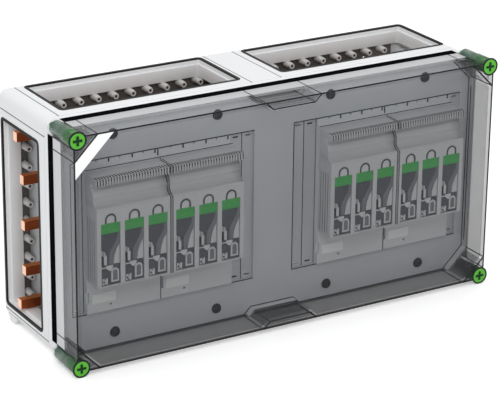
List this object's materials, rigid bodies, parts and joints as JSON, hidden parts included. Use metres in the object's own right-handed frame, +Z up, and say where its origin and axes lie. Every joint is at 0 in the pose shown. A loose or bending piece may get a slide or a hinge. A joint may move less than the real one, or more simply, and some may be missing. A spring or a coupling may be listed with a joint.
{
  "type": "disconnect switch enclosure",
  "caption": "Insulated wall enclosure with a smoked clear lid, fuse switch disconnectors on through-running busbars, and sealed flange openings on all sides to join further boxes.",
  "frame": {"origin": "centre of the flat rear mounting face, at half width and half height of the box", "axes": "+X to the right as seen from the front, +Y towards the wall, -Y towards the lid and the viewer, +Z up"},
  "size_m": [0.6134, 0.2052, 0.3134],
  "materials": {
    "shell_plastic": "fine matt, light grey",
    "seal_rubber": "matt",
    "smoked_lid": "clear, smoked, polished",
    "label_white": "bare label stock",
    "screw_green": "satin moulded",
    "plate_grey": "fine matt",
    "plug_dark": "matt",
    "bar_copper": "drawn copper, satin",
    "carrier_grey": "fine matt",
    "switch_grey": "fine matt",
    "contact_silver": "plated, satin",
    "shield_dark": "matt",
    "tag_green": "satin moulded",
    "fuse_ceramic": "matt"
  },
  "bodies": {
    "base": {"base_shell": "shell_plastic", "top_seals": "seal_rubber", "bottom_seals": "seal_rubber", "side_seals": "seal_rubber", "lid_seal": "seal_rubber", "cover_plate": "plate_grey", "plate_plugs": "plug_dark", "blanking_strips": "plate_grey", "phase_bars": "bar_copper", "neutral_bar": "bar_copper", "earth_bar": "bar_copper", "bar_supports": "carrier_grey", "switch_base_1": "switch_grey", "contacts_1": "contact_silver", "label_plate_1": "label_white", "switch_base_2": "switch_grey", "contacts_2": "contact_silver", "label_plate_2": "label_white", "switch_base_3": "switch_grey", "contacts_3": "contact_silver", "label_plate_3": "label_white", "switch_base_4": "switch_grey", "contacts_4": "contact_silver", "label_plate_4": "label_white"},
    "lid_body": {"lid": "smoked_lid", "label_band": "label_white"},
    "screw_1": {"lid_screw_1": "screw_green"},
    "screw_2": {"lid_screw_2": "screw_green"},
    "screw_3": {"lid_screw_3": "screw_green"},
    "screw_4": {"lid_screw_4": "screw_green"},
    "cover_1": {"switch_cover_1": "switch_grey", "window_shields_1": "shield_dark", "fuse_tags_1": "tag_green", "fuse_bodies_1": "fuse_ceramic", "fuse_blades_1": "contact_silver"},
    "cover_2": {"switch_cover_2": "switch_grey", "window_shields_2": "shield_dark", "fuse_tags_2": "tag_green", "fuse_bodies_2": "fuse_ceramic", "fuse_blades_2": "contact_silver"},
    "cover_3": {"switch_cover_3": "switch_grey", "window_shields_3": "shield_dark", "fuse_tags_3": "tag_green", "fuse_bodies_3": "fuse_ceramic", "fuse_blades_3": "contact_silver"},
    "cover_4": {"switch_cover_4": "switch_grey", "window_shields_4": "shield_dark", "fuse_tags_4": "tag_green", "fuse_bodies_4": "fuse_ceramic", "fuse_blades_4": "contact_silver"}
  },
  "joints": [
    {"name": "lid_lift", "type": "slide", "parent": "base", "child": "lid_body", "axis": [0, -1, 0], "range_m": [0, 0.25]},
    {"name": "screw_turn_1", "type": "hinge", "parent": "lid_body", "child": "screw_1", "pos_m": [-0.2952, -0.2, 0.1452], "axis": [0, -1, 0], "range_deg": [0, 90]},
    {"name": "screw_turn_2", "type": "hinge", "parent": "lid_body", "child": "screw_2", "pos_m": [0.2952, -0.2, 0.1452], "axis": [0, -1, 0], "range_deg": [0, 90]},
    {"name": "screw_turn_3", "type": "hinge", "parent": "lid_body", "child": "screw_3", "pos_m": [-0.2952, -0.2, -0.1452], "axis": [0, -1, 0], "range_deg": [0, 90]},
    {"name": "screw_turn_4", "type": "hinge", "parent": "lid_body", "child": "screw_4", "pos_m": [0.2952, -0.2, -0.1452], "axis": [0, -1, 0], "range_deg": [0, 90]},
    {"name": "cover_swing_1", "type": "hinge", "parent": "base", "child": "cover_1", "pos_m": [-0.216, -0.171, -0.045], "axis": [1, 0, 0], "range_deg": [0, 80]},
    {"name": "cover_swing_2", "type": "hinge", "parent": "base", "child": "cover_2", "pos_m": [-0.114, -0.171, -0.045], "axis": [1, 0, 0], "range_deg": [0, 80]},
    {"name": "cover_swing_3", "type": "hinge", "parent": "base", "child": "cover_3", "pos_m": [0.114, -0.171, -0.045], "axis": [1, 0, 0], "range_deg": [0, 80]},
    {"name": "cover_swing_4", "type": "hinge", "parent": "base", "child": "cover_4", "pos_m": [0.216, -0.171, -0.045], "axis": [1, 0, 0], "range_deg": [0, 80]}
  ],
  "couplings": [
    {"joint": "cover_swing_1", "follows": "lid_lift", "rad_per_m": 5.58},
    {"joint": "cover_swing_2", "follows": "lid_lift", "rad_per_m": 5.58},
    {"joint": "cover_swing_3", "follows": "lid_lift", "rad_per_m": 5.58},
    {"joint": "cover_swing_4", "follows": "lid_lift", "rad_per_m": 5.58}
  ]
}
